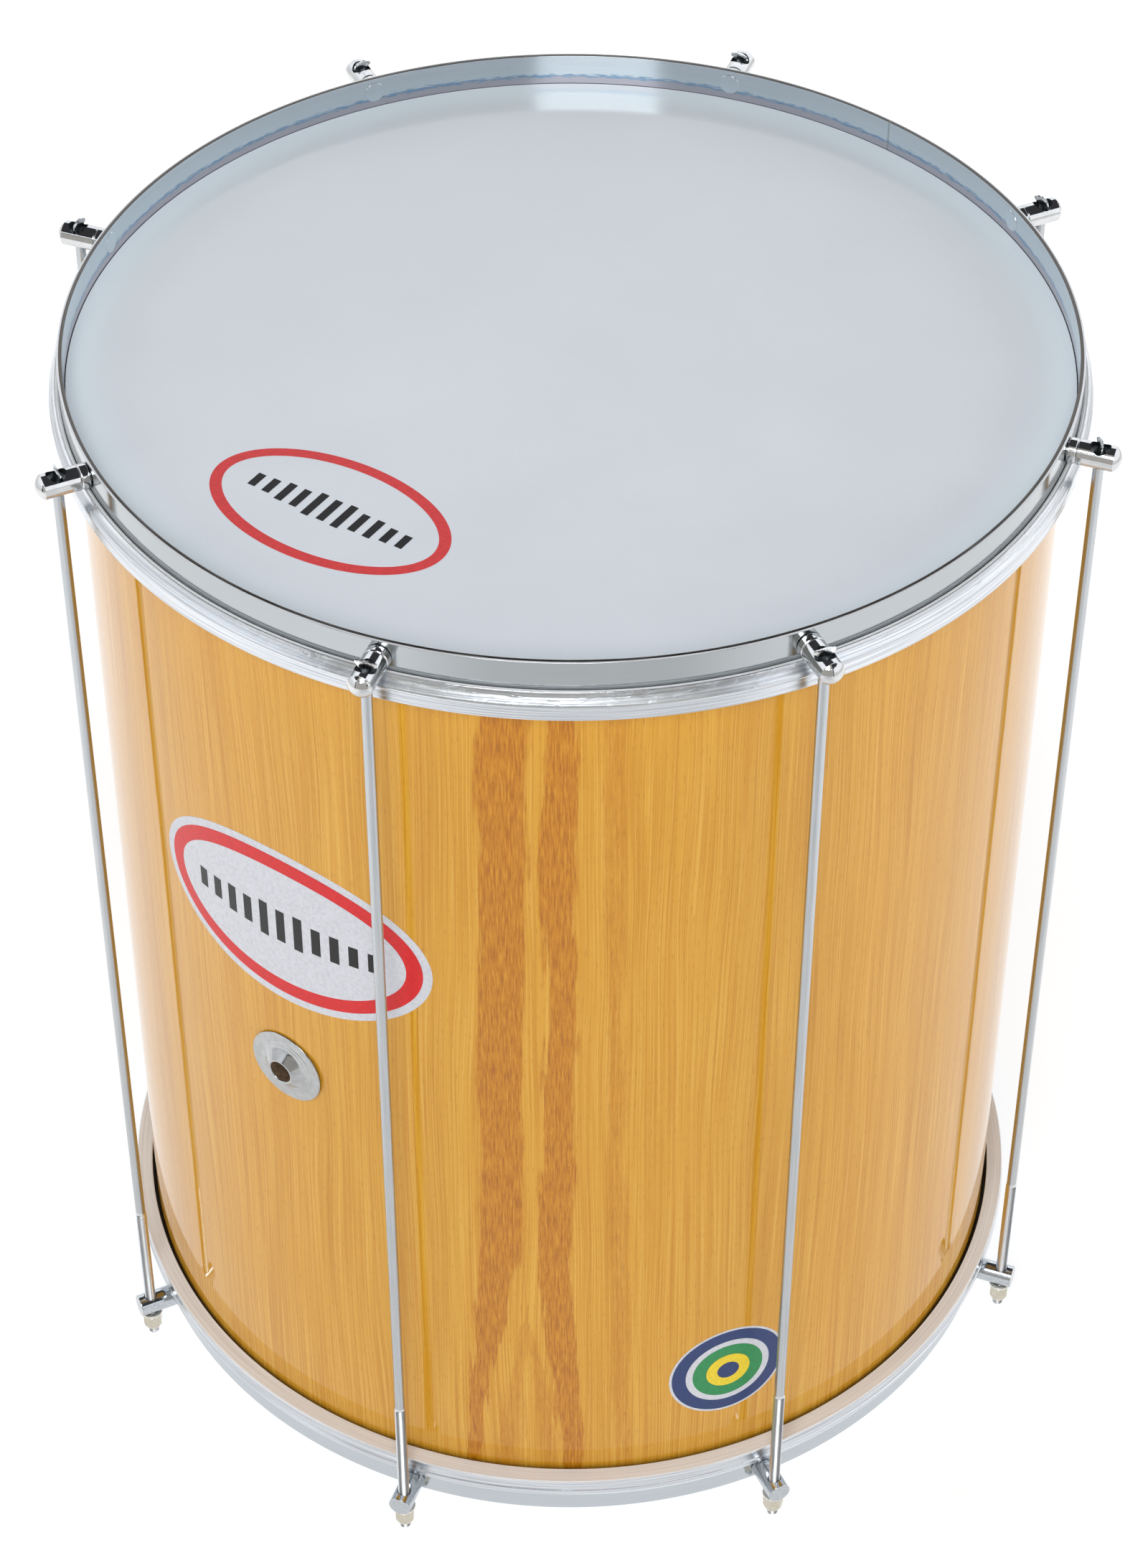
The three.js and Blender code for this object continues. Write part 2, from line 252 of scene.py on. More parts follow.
# %% World: bright walls, a dark ceiling, and a dim gap behind the camera
WALL_LEFT, WALL_RIGHT, WALL_TOP = (1.04, 1.06, 1.08), (1.42, 1.42, 1.42), (1.36, 1.40, 1.46)
CEILING, SKY_FLOOR = (0.05, 0.05, 0.055), (0.95, 0.95, 0.95)
GAP_EDGE, GAP = (0.02, 0.02, 0.02), (0.56, 0.54, 0.50)
CAMERA_WAY = (-0.19, -0.98)  # the level direction from the drum to the camera
CEILING_RISE = 0.075  # how much higher the ceiling's edge stands at the back
world = bpy.data.worlds.new("studio")
bpy.context.scene.world = world
world.use_nodes = True
sky = Wiring(world.node_tree)
sky.tree.nodes.clear()

ways = sky.add("ShaderNodeSeparateXYZ", sky.add("ShaderNodeTexCoord").outputs["Generated"])
across, towards_back, upwards = ways.outputs
level = sky.sum("POWER", sky.minus(1.0, sky.times(upwards, upwards)), 0.5)
to_camera = sky.times(across, CAMERA_WAY[0])
to_camera = sky.plus(to_camera, sky.times(towards_back, CAMERA_WAY[1]))
to_camera = sky.over(to_camera, level)
walls = sky.mix(sky.range(across, -0.6, 0.6), WALL_LEFT, WALL_RIGHT)
walls = sky.mix(sky.range(upwards, 0.08, 0.42), walls, WALL_TOP)
room = sky.mix(sky.range(upwards, -0.06, 0.0), SKY_FLOOR, walls)
gap = sky.mix(sky.range(to_camera, 0.77, 0.81), GAP_EDGE, GAP)
lit_band = sky.times(sky.range(upwards, 0.42, 0.45), sky.range(upwards, 0.58, 0.54))
in_gap = sky.times(sky.range(to_camera, 0.72, 0.75), sky.minus(1.0, lit_band))
in_gap = sky.times(in_gap, sky.range(upwards, 0.93, 0.86))
ceiling = sky.minus(upwards, sky.times(towards_back, CEILING_RISE))
room = sky.mix(sky.range(ceiling, 0.55, 0.585), room, CEILING)
around_drum = sky.mix(in_gap, room, gap)
seen = sky.mix(sky.add("ShaderNodeLightPath").outputs["Is Camera Ray"], around_drum, (1, 1, 1))
sky_shader = sky.add("ShaderNodeBackground", seen, 1.0)
sky.wire(sky_shader.outputs[0], sky.add("ShaderNodeOutputWorld").inputs["Surface"])
bpy.context.scene.view_settings.view_transform = "Standard"
print("world nodes:", len(sky.tree.nodes))

# %% Soft light above the camera
DRUM_MIDDLE = (CAD_BOX[0] + CAD_BOX[1]) / 2


def soft_light(name, azimuth, elevation, distance, width, height, power, colour):
    """A rectangle of light that looks at the drum; azimuth 0 is the front, 90 the right."""
    lamp = bpy.data.lights.new(name, "AREA")
    lamp.shape, lamp.size, lamp.size_y = "RECTANGLE", width, height
    lamp.energy, lamp.color = power, colour
    thing = placed(name, lamp)
    a, e = math.radians(azimuth), math.radians(elevation)
    out = Vector((math.sin(a) * math.cos(e), -math.cos(a) * math.cos(e), math.sin(e)))
    thing.matrix_world = Matrix.Translation(DRUM_MIDDLE + out * distance) @ (
        out.to_track_quat("Z", "Y").to_matrix().to_4x4()
    )
    return thing


soft_light(
    "soft_light", azimuth=-9, elevation=43, distance=2.6, width=1.03, height=1.08, power=27,
    colour=(0.94, 0.98, 1.0),
)

# %% [markdown]
# ## Turned pieces
# Most of the drum is turned work: shell, heads, hoops, lugs, washers and the vent fitting are all
# one section swept round an axis. So the main tool draws a section as a wire of a few corners,
# eases each corner with a bevel and spins the wire. Metal shows every fault of its shading, so a
# point is set close to both ends of each long line: it keeps the flat beside an eased corner flat.

# %% A section, eased and spun
ROUND = 256
HOLD = 0.12 * MM


def section(bm, corners, closed=True, segments=4):
    """A wire through corners given as (radius, height, easing) in millimetres."""
    points = [bm.verts.new((radius * MM, 0, height * MM)) for radius, height, _ in corners]
    followers = points[1:] + points[:1] if closed else points[1:]
    for pair in zip(points, followers):
        bm.edges.new(pair)
    for point, (_, _, easing) in zip(points, corners):
        if easing:
            bmesh.ops.bevel(
                bm, geom=[point], offset=easing * MM, offset_type="OFFSET", segments=segments,
                profile=0.5, affect="VERTICES", material=-1,
            )


def hold_flats(bm):
    """Splits every long line close to both of its ends."""
    for edge in list(bm.edges):
        length = edge.calc_length()
        if length > 6 * HOLD:
            first, last = edge.verts
            _, near = bmesh.utils.edge_split(edge, first, HOLD / length)
            rest = next(e for e in near.link_edges if last in e.verts)
            bmesh.utils.edge_split(rest, last, HOLD / (length - HOLD))


def tidy_up(bm):
    """Welds points that coincide and turns all faces outwards."""
    bmesh.ops.remove_doubles(bm, verts=bm.verts[:], dist=1e-6)
    bmesh.ops.recalc_face_normals(bm, faces=bm.faces[:])


def turned(corners, steps=ROUND, closed=True, segments=4, longest=None):
    """A body of revolution about Z as a bmesh. longest limits the length of one line, in mm."""
    bm = bmesh.new()
    section(bm, corners, closed, segments)
    hold_flats(bm)
    if longest:
        for edge in list(bm.edges):
            cuts = int(edge.calc_length() / (longest * MM))
            if cuts:
                bmesh.ops.subdivide_edges(bm, edges=[edge], cuts=cuts)
    bmesh.ops.spin(
        bm, geom=bm.verts[:] + bm.edges[:], cent=(0, 0, 0), axis=(0, 0, 1), angle=2 * math.pi,
        steps=steps, use_merge=True, use_duplicate=False,
    )
    tidy_up(bm)
    return bm


def mesh_of(name, bm):
    """The finished mesh; the bmesh is used up."""
    mesh = bpy.data.meshes.new(name)
    bm.to_mesh(mesh)
    bm.free()
    return mesh


def piece(name, bm, finishes, body, replaces=(), sharp=32):
    """Makes the object, gives it its finishes, and hands it to the frame."""
    mesh = mesh_of(name, bm)
    mesh.shade_smooth()
    mesh.set_sharp_from_angle(angle=math.radians(sharp))
    for finish in finishes:
        mesh.materials.append(finish.material)
    thing = placed(name, mesh)
    if replaces:
        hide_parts(*replaces)
    if body:
        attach(thing, body)
    return thing


def cut(bm, tool, operation="DIFFERENCE"):
    """The Boolean modifier between two bmeshes, applied; both are used up."""
    body, knife = things = [placed("cut", mesh_of("cut", part)) for part in (bm, tool)]
    modifier = body.modifiers.new("cut", "BOOLEAN")
    modifier.operation, modifier.solver, modifier.object = operation, "EXACT", knife
    graph = bpy.context.evaluated_depsgraph_get()
    result = bmesh.new()
    result.from_object(body, graph)
    for thing in things:
        mesh = thing.data
        bpy.data.objects.remove(thing)
        bpy.data.meshes.remove(mesh)
    return result


def faces(*things):
    return sum(len(thing.data.polygons) for thing in things)


sample = turned([(9, 0, 0), (10, 0, 0), (10, 1, 0), (9, 1, 0)])
print("a turned ring of four corners has", len(sample.faces), "faces")
sample.free()

# %% [markdown]
# ## The shell
# The shell is plywood with a honey-coloured veneer under gloss lacquer. Its grain stands upright:
# fine lines one or two millimetres apart, short dark pores, and two darker streaks near the front
# that wander a little and part towards the foot around a small flame. The veneer is one sheet that
# meets itself at the back. We write the pattern in the sheet's own way round and up, so it wraps
# the tube without a stretch, and put the lacquer on as the shader's coat.

# %% Veneer: where the dark streaks run
HEAD_EDGE, FOOT_EDGE = 635.6, 35.6  # the shell's bearing edges, in mm above the floor
SHELL_RADIUS = 254.0
# height, middle of the streak from the front line, half its width; all in mm
STREAK_LEFT = [
    (40, -66, 3.6), (62, -65, 4.0), (110, -62, 5.5), (166, -55.5, 7.8), (231, -49, 11),
    (355, -47, 11.3), (606, -43.5, 12),
]
STREAK_RIGHT = [
    (40, -8, 5.4), (62, -10, 5.8), (139, -15, 8), (224, -20.5, 8.6), (294, -18.2, 9.4),
    (423, -15.3, 6.6), (522, -19, 10), (606, -14.5, 6.6),
]
FLAME_LEFT = [(40, -47, 8), (60, -46, 7.5), (108, -42.5, 5), (160, -37, 2.5), (175, -36, 0.5)]
FLAME_RIGHT = [(40, -20, 4), (60, -21, 4), (108, -25.5, 3.5), (160, -33, 2.5), (175, -35, 0.5)]
PALE_STREAK = [(40, 22, 3), (110, 17, 4.5), (300, 13, 4), (606, 9, 5)]
STREAK_SPAN = 100.0  # no streak lies further from the front line than this


def streak(finish, around, up, places, wobble, soft):
    """How deep in a streak a point lies, from 0 outside to 1 inside."""
    stops = [
        (height / HEAD_EDGE, ((middle + STREAK_SPAN) / (2 * STREAK_SPAN), half / STREAK_SPAN, 0))
        for height, middle, half in places
    ]
    course = finish.ramp(finish.over(up, HEAD_EDGE), *stops)
    middle, half, _ = finish.add("ShaderNodeSeparateColor", course).outputs
    middle = finish.sum("MULTIPLY_ADD", middle, 2 * STREAK_SPAN)
    middle.node.inputs[2].default_value = -STREAK_SPAN
    away = finish.sum("ABSOLUTE", finish.plus(finish.minus(around, middle), wobble))
    share = finish.over(away, finish.times(half, STREAK_SPAN))
    return finish.range(share, 1 + soft, 1 - soft)


# %% Veneer: grain, pores, streaks and flame
veneer = Finish(
    "honey_veneer", Roughness=0.38, Specular_IOR_Level=0.0,
    Coat_Weight=1.0, Coat_Roughness=0.05, Coat_IOR=1.42,
)
around, _, up = veneer.ring_place(SHELL_RADIUS)


def grain(wide, tall, where=None, **how):
    """Noise stretched upright: its spots are about wide by tall millimetres."""
    where = around if where is None else where
    return veneer.noise(veneer.spots((where, wide), (up, tall)), **how)


swayed = veneer.plus(around, veneer.range(grain(70, 420, detail=2), 0.3, 0.7, -3, 3))
broad = grain(15, 520, swayed, detail=3, rough=0.6)
lines = grain(1.6, 420, swayed, detail=2, rough=0.6)
threads = grain(0.8, 150, swayed, detail=1)
bands = grain(6, 600, swayed, detail=3, rough=0.6)
pores = grain(0.4, 8, swayed, detail=1)
mottle = grain(8, 60, detail=4, rough=0.6)
fibres = grain(0.9, 14, detail=3, rough=0.65)

wobble = veneer.range(grain(4, 55, detail=3), 0.25, 0.75, -2.6, 2.6)
dark_left = streak(veneer, around, up, STREAK_LEFT, wobble, 0.12)
dark_right = streak(veneer, around, up, STREAK_RIGHT, wobble, 0.15)
streaks = veneer.sum("MAXIMUM", dark_left, dark_right)
flame_left = streak(veneer, around, up, FLAME_LEFT, wobble, 0.5)
flame_right = streak(veneer, around, up, FLAME_RIGHT, wobble, 0.5)
flame = veneer.sum("MAXIMUM", flame_left, flame_right)
pale_streak = streak(veneer, around, up, PALE_STREAK, wobble, 0.8)
half_dark = veneer.times(veneer.sum("MAXIMUM", flame, pale_streak), 0.5)
shade = veneer.sum("MAXIMUM", streaks, half_dark)

honey = veneer.ramp(
    broad, (0.28, (0.59, 0.275, 0.020)), (0.5, (0.65, 0.32, 0.030)), (0.75, (0.69, 0.36, 0.042))
)
honey = veneer.mix(veneer.range(bands, 0.50, 0.72, 0.0, 0.26), honey, (0.55, 0.225, 0.010))
honey = veneer.mix(veneer.range(lines, 0.47, 0.62, 0.0, 0.36), honey, (0.52, 0.205, 0.008))
honey = veneer.mix(veneer.range(threads, 0.50, 0.66, 0.0, 0.4), honey, (0.48, 0.18, 0.006))
honey = veneer.mix(veneer.range(threads, 0.46, 0.34, 0.0, 0.35), honey, (0.78, 0.47, 0.10))
honey = veneer.mix(veneer.range(mottle, 0.45, 0.8, 0.0, 0.25), honey, (0.72, 0.395, 0.055))
streak_tone = veneer.ramp(
    fibres, (0.34, (0.33, 0.092, 0.002)), (0.5, (0.49, 0.172, 0.004)), (0.66, (0.62, 0.265, 0.016))
)
honey = veneer.mix(veneer.times(shade, 0.86), honey, streak_tone)
pore_limit = veneer.minus(0.64, veneer.times(shade, 0.06))
pore_share = veneer.range(veneer.minus(pores, pore_limit), 0.0, 0.07, 0.0, 0.4)
veneer.set("Base Color", veneer.mix(pore_share, honey, (0.34, 0.11, 0.004)))
veneer.set("Normal", veneer.bump(pores, 0.1, 0.05))
veneer.set("Coat Normal", veneer.bump(veneer.noise(veneer.grid(around, up), 0.02, 2), 0.2, 0.5))

ply = Finish("shell_plies", Roughness=0.6)
_, out, up = ply.ring_place(SHELL_RADIUS)
PLY = 2.17  # one layer of the plywood, in mm
layers = ply.sum("FRACT", ply.over(out, PLY))
ply.set("Base Color", ply.ramp(
    layers, (0.0, (0.30, 0.17, 0.07)), (0.12, (0.62, 0.42, 0.22)), (0.8, (0.55, 0.36, 0.18))
))
print("veneer nodes:", len(veneer.tree.nodes))

# %% Shell: turned tube with the vent hole
VENT_AZIMUTH, VENT_HEIGHT = -38.4, 327.6
VENT_ROOM = 13.0  # the rows of faces round the hole stay under the vent's flange
SHELL_INNER = SHELL_RADIUS - 6.5
EDGE_INNER = 250.8  # the bearing edge slopes away inside this radius


def outwards(azimuth, radius, height):
    """The place of a piece made along Z that is to point out of the drum, its Y upwards."""
    a = math.radians(azimuth)
    spot = Matrix(((math.cos(a), 0, math.sin(a)), (math.sin(a), 0, -math.cos(a)), (0, 1, 0))).to_4x4()
    spot.translation = (radius * math.sin(a) * MM, -radius * math.cos(a) * MM, height * MM)
    return spot


shell_section = [
    (EDGE_INNER, FOOT_EDGE, 0.4), (SHELL_RADIUS, FOOT_EDGE, 1.2),
    (SHELL_RADIUS, VENT_HEIGHT - VENT_ROOM, 0), (SHELL_RADIUS, VENT_HEIGHT + VENT_ROOM, 0),
    (SHELL_RADIUS, HEAD_EDGE, 1.2), (EDGE_INNER, HEAD_EDGE, 0.4),
    (SHELL_INNER, HEAD_EDGE - 4, 0.4),
    (SHELL_INNER, VENT_HEIGHT + VENT_ROOM, 0), (SHELL_INNER, VENT_HEIGHT - VENT_ROOM, 0),
    (SHELL_INNER, FOOT_EDGE + 4, 0.4),
]
drill = turned([(0, -12, 0), (8.3, -12, 0), (8.3, 4, 0), (0, 4, 0)], steps=64, closed=False)
drill.transform(outwards(VENT_AZIMUTH, SHELL_RADIUS, VENT_HEIGHT))
shell_bm = cut(turned(shell_section), drill)
for face in shell_bm.faces:
    middle = face.calc_center_median()
    face.material_index = 0 if middle.xy.length > (SHELL_RADIUS - 0.6) * MM else 1
shell = piece("wooden_shell", shell_bm, [veneer, ply], "drum_body", ["shell"])
print("shell faces:", faces(shell))

# %% [markdown]
# ## The heads
# Each head is a thin milky film. It lies flat over the bearing edge, bends down into a short collar
# and runs outwards into a groove of the flesh hoop. The film shines softly and is not quite even,
# so its finish has a faint cloudiness and a very shallow wave. Its tucked edge, down in the gap
# beside the shell, is painted almost black as painted shade.

# %% Film
# heights above the bearing edge, and radii, in mm
FILM_FACE, FILM_UNDER, COLLAR_FOOT = 0.8, 0.3, -10.1
COLLAR_IN, COLLAR_OUT, TUCKED_OUT = 254.4, 254.9, 261.9
film = Finish("milky_film", Roughness=0.13, IOR=1.42)
_, out, up = film.ring_place(SHELL_RADIUS)
where = film.here()
clouds = film.noise(where, 0.012, 3)
specks = film.noise(where, 0.9, 2)
milk_with_painted_rim_light = film.ramp(clouds, (0.3, (0.80, 0.82, 0.87)), (0.7, (0.83, 0.855, 0.90)))
# towards the rim the film is painted lighter and bluer: painted light against the shade beside the hoop
milk_with_painted_rim_light = film.mix(film.range(out, 222, 252, 0.0, 0.9), milk_with_painted_rim_light, (0.88, 0.96, 1.0))
milk_with_painted_rim_light = film.mix(film.range(specks, 0.3, 0.8, 0.0, 0.05), milk_with_painted_rim_light, (0.62, 0.67, 0.74))
inward = film.sum("MINIMUM", film.minus(up, FOOT_EDGE), film.minus(HEAD_EDGE, up))
# the tucked edge is painted almost black as painted shade of the gap, and made rough there
tucked_painted_shade = film.range(inward, 4.5, 8.0)
PAINTED_GAP_SHADE = (0.012, 0.010, 0.008)
film.set("Base Color", film.mix(tucked_painted_shade, milk_with_painted_rim_light, PAINTED_GAP_SHADE))
film.set("Roughness", film.range(tucked_painted_shade, 0.0, 1.0, 0.13, 0.9))
film.set("Normal", film.bump(film.noise(where, 0.016, 1), 0.35, 1.2))


def end_ring(corners, upward, **how):
    """A ring drawn as heights above the top bearing edge; at the foot it hangs upside down."""
    edge, side = (HEAD_EDGE, 1) if upward else (FOOT_EDGE, -1)
    return turned([(radius, edge + side * height, easing) for radius, height, easing in corners], **how)


def head(name, upward):
    corners = [
        (0, FILM_FACE, 0), (257.2, FILM_FACE, 0.25), (257.1, FILM_FACE - 1.2, 0.4),
        (COLLAR_OUT, FILM_FACE - 3.0, 0.5), (COLLAR_OUT, COLLAR_FOOT + 0.5, 0.5),
        (TUCKED_OUT, COLLAR_FOOT + 0.5, 0), (TUCKED_OUT, COLLAR_FOOT, 0), (COLLAR_IN, COLLAR_FOOT, 0.9),
        (COLLAR_IN, FILM_UNDER, 1.2), (0, FILM_UNDER, 0),
    ]
    bm = end_ring(corners, upward, closed=False)
    tall = [e for e in bm.edges if abs(e.verts[0].co.z - e.verts[1].co.z) > 3 * MM]
    bmesh.ops.subdivide_edges(bm, edges=tall, cuts=7, use_grid_fill=True)
    thing = piece(name, bm, [film], None, [name.replace("film_", "") + "_head"])
    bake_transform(thing)
    return thing


top_film = head("film_top", True)
bottom_film = head("film_bottom", False)
print("head faces:", faces(top_film, bottom_film))

# %% [markdown]
# ## The hoops
# Two rings work together at each end. The counter hoop is a flat strip of chromed steel stood on
# edge and welded into a ring; its corners are slightly rounded and its wall carries fine lines that
# run round the drum. The flesh hoop below it is an aluminium section with a ledge, a slope, a round
# bead and a plain wall, and its ledge is a little dented where it was pressed round the film. Both
# are turned; brushing and dents are bump patterns that are long round the drum and short across.

# %% Steel of the counter hoop
HOOP_BORE, HOOP_OUT, HOOP_TOP, HOOP_LOW = 257.4, 260.2, 18.5, -1.1
FLESH_LIP = 256.1  # the lip that holds the film reaches a little further in
FLESH_DEPTH = 12.4  # from the bearing edge to the far face of the flesh hoop
WELD_AZIMUTH = 135.2
PAINTED_BORE_LIGHT = (0.645, 0.705, 0.75)  # the bore is painted lighter and bluer than the outer wall: a painted reflection
steel = Finish("hoop_steel", Metallic=1.0, Roughness=0.18)
around, out, up = steel.ring_place(HOOP_OUT)
brushing = steel.noise(steel.spots((around, 55), (out, 1 / 3), (up, 1 / 3)), detail=3)
cloud = steel.noise(steel.spots((around, 30), (out, 1), (up, 9)), detail=2)
weld_way = steel.sum("ABSOLUTE", steel.minus(around, math.radians(WELD_AZIMUTH) * HOOP_OUT))
weld = steel.range(weld_way, 0.9, 0.1)
# the lower hoop's outer wall is painted lighter and bluer than the upper one's: painted light from the
# floor
outer_tone_painted_lighter_low = steel.mix(steel.range(up, 200, 300), (0.52, 0.555, 0.585), (0.42, 0.445, 0.46))
tone = steel.mix(steel.range(out, HOOP_BORE + 0.4, HOOP_OUT - 0.4), PAINTED_BORE_LIGHT, outer_tone_painted_lighter_low)
on_top = steel.range(up, HEAD_EDGE + HOOP_TOP - 0.25, HEAD_EDGE + HOOP_TOP - 0.1)
# the inner part of the top face is painted near-black: a painted dark reflection
painted_dark_top_reflection = steel.times(on_top, steel.range(out, 259.4, 259.1))
tone = steel.mix(painted_dark_top_reflection, tone, (0.085, 0.075, 0.065))
# the outer part of the top face is painted light grey and made less metallic: a painted highlight
painted_top_highlight = steel.times(on_top, steel.range(out, 259.1, 259.4))
tone = steel.mix(painted_top_highlight, tone, (0.80, 0.81, 0.83))
steel.set("Metallic", steel.range(painted_top_highlight, 0.0, 1.0, 1.0, 0.2))
tone = steel.mix(steel.range(brushing, 0.35, 0.7, 0.0, 0.14), tone, (0.35, 0.37, 0.39))
# a ragged blue band and a mauve band low in the bore are painted reflections of the head below
frayed = steel.noise(steel.grid(steel.over(around, 6), 0.0, up), detail=3)
fuzz = steel.range(frayed, 0.3, 0.7, -0.9, 0.9)
above_film = steel.plus(steel.minus(up, HEAD_EDGE), fuzz)
in_bore = steel.range(out, HOOP_BORE + 0.5, HOOP_BORE + 0.2)
painted_blue_reflection = steel.times(steel.range(above_film, 7.4, 5.6), in_bore)
painted_mauve_reflection = steel.times(steel.range(above_film, 5.2, 4.6), in_bore)
tone = steel.mix(steel.times(painted_blue_reflection, 0.8), tone, (0.17, 0.30, 0.47))
tone = steel.mix(steel.times(painted_mauve_reflection, 0.9), tone, (0.50, 0.46, 0.49))
steel.set("Base Color", steel.mix(steel.times(weld, 0.6), tone, (0.28, 0.27, 0.26)))
steel.set("Roughness", steel.range(cloud, 0.2, 0.8, 0.08, 0.14))
wave = steel.bump(cloud, 0.12, 0.4)
steel.set("Normal", steel.bump(steel.plus(brushing, weld), 0.12, 0.04, wave))

# %% Aluminium of the flesh hoop
alloy = Finish("flesh_aluminium")
around, out, up = alloy.ring_place(HOOP_OUT)
ridges = alloy.noise(alloy.spots((around, 80), (out, 1 / 1.3), (up, 1 / 1.3)), detail=4)
dents = alloy.noise(alloy.spots((around, 9), (out, 5), (up, 5)), detail=2, rough=0.6)
from_foot = alloy.sum("ABSOLUTE", alloy.minus(up, FOOT_EDGE + FLESH_DEPTH))
from_head = alloy.sum("ABSOLUTE", alloy.minus(up, HEAD_EDGE - FLESH_DEPTH))
turned_face = alloy.range(alloy.sum("MINIMUM", from_foot, from_head), 0.35, 0.15)
over_head = alloy.minus(up, HEAD_EDGE)
over_edge = alloy.sum("MAXIMUM", over_head, alloy.minus(FOOT_EDGE, up))
inside_slope = alloy.range(out, 262.7, 262.4)
ledge = alloy.times(alloy.range(over_edge, 1.9, 2.3), inside_slope)
turned_face = alloy.sum("MAXIMUM", turned_face, ledge)
rings = alloy.noise(alloy.spots((around, 160), (out, 1 / 1.6)), detail=3)
bright = alloy.ramp(ridges, (0.36, (0.46, 0.485, 0.52)), (0.64, (0.74, 0.765, 0.80)))
matt = alloy.ramp(rings, (0.35, (0.81, 0.79, 0.79)), (0.65, (1.0, 1.0, 1.0)))
alloy.set("Base Color", alloy.mix(turned_face, bright, matt))
polished = alloy.range(dents, 0.2, 0.8, 0.20, 0.30)
rough_gain = alloy.times(turned_face, 0.36)
alloy.set("Roughness", alloy.plus(polished, rough_gain))
alloy.set("Metallic", alloy.range(turned_face, 0.0, 1.0, 1.0, 0.12))
crinkle = alloy.noise(alloy.spots((around, 13), (out, 2.2)), detail=4)
on_ledge = alloy.range(over_edge, -1.2, 0.6)
crinkled = alloy.times(alloy.range(crinkle, 0.5, 0.75), on_ledge)
deep = alloy.bump(alloy.range(dents, 0.55, 0.8), 0.25, 0.4)
deep = alloy.bump(crinkled, 0.5, 0.4, deep)
alloy.set("Normal", alloy.bump(ridges, 0.35, 0.14, deep))
print("hoop finishes ready")

# %% Counter hoops and flesh hoops
hoop_corners = [
    (HOOP_BORE, HOOP_LOW, 0.3), (HOOP_OUT, HOOP_LOW, 0.3),
    (HOOP_OUT, HOOP_TOP, 0.35), (HOOP_BORE, HOOP_TOP, 0.35),
]
flesh_corners = [
    (FLESH_LIP, -FLESH_DEPTH, 0.4), (265.4, -FLESH_DEPTH, 0.7), (265.4, -5.5, 0.25), (266.0, -4.9, 0.45),
    (266.0, -3.3, 0.6), (263.5, 0.7, 0.35), (262.9, 3.1, 0.35), (261.9, 2.75, 0.3), (261.4, 2.95, 0.2),
    (260.5, 2.5, 0),
    (260.5, -1.4, 0), (HOOP_BORE, -1.4, 0), (HOOP_BORE, -9.3, 0), (262.2, -9.3, 0),
    (262.2, -10.4, 0), (FLESH_LIP, -10.4, 0),
]
for end, upward in (("top", True), ("bottom", False)):
    rim = end + "_rim"
    strip = piece(
        "hoop_" + end, end_ring(hoop_corners, upward, steps=512), [steel], rim,
        [end + "_counter_hoop"],
    )
    band = piece(
        "band_" + end, end_ring(flesh_corners, upward, steps=384), [alloy], rim,
        [end + "_flesh_hoop"],
    )
    print(end, "rim faces:", faces(strip, band))

# %% [markdown]
# ## The lugs
# A lug is a short turned bar that is riveted through the counter hoop and stands out from it. The
# upper ones are mirror chrome with a groove ring, a domed end and a countersunk hole that the rod's
# flattened head sits in; the lower ones are plain zinc-plated bars with a flat end. We turn one of
# each, drill it once with a Boolean, and set eight copies round the rim, because the cut is the
# slow part and all eight are alike.

# %% Chrome and zinc
chrome = Finish("lug_chrome", Metallic=1.0, Roughness=0.06)
where = chrome.here()
sand = chrome.noise(where, 1.3, 3, 0.6)
_, out, _ = chrome.ring_place(HOOP_OUT)
haze = chrome.noise(where, 0.15, 2)
mirror = chrome.ramp(haze, (0.3, (0.56, 0.565, 0.575)), (0.7, (0.64, 0.645, 0.65)))
# the lug's end inside the hoop takes the bore's painted reflection colour
at_bore = chrome.range(out, HOOP_BORE + 0.8, HOOP_BORE + 0.4)
chrome.set("Base Color", chrome.mix(at_bore, mirror, PAINTED_BORE_LIGHT))
chrome.set("Roughness", chrome.range(sand, 0.3, 0.8, 0.02, 0.06))
chrome.set("Normal", chrome.bump(sand, 0.16, 0.05))



def plated(name, dark, light, scale, detail=3, rough=None, relief=None, **constants):
    """A metal that is never quite even; relief is the strength and the depth in mm of its bumps."""
    finish = Finish(name, **constants)
    mottle = finish.noise(finish.here(), scale, detail)
    finish.set("Base Color", finish.ramp(mottle, (0.3, dark), (0.7, light)))
    if rough:
        finish.set("Roughness", finish.range(mottle, 0.2, 0.8, *rough))
    if relief:
        finish.set("Normal", finish.bump(mottle, *relief))
    return finish


# the faces inside each lug's hole are painted dark: painted shade in the hole
painted_hole_shade = plated(
    "hole_painted_shade", (0.07, 0.08, 0.085), (0.20, 0.22, 0.23), 1.5, relief=(0.3, 0.1),
    Metallic=1.0, Roughness=0.35,
)
zinc = plated(
    "lug_zinc", (0.42, 0.45, 0.48), (0.56, 0.585, 0.61), 0.9, rough=(0.07, 0.16),
    relief=(0.2, 0.05), Metallic=1.0,
)
print("lug finishes ready")

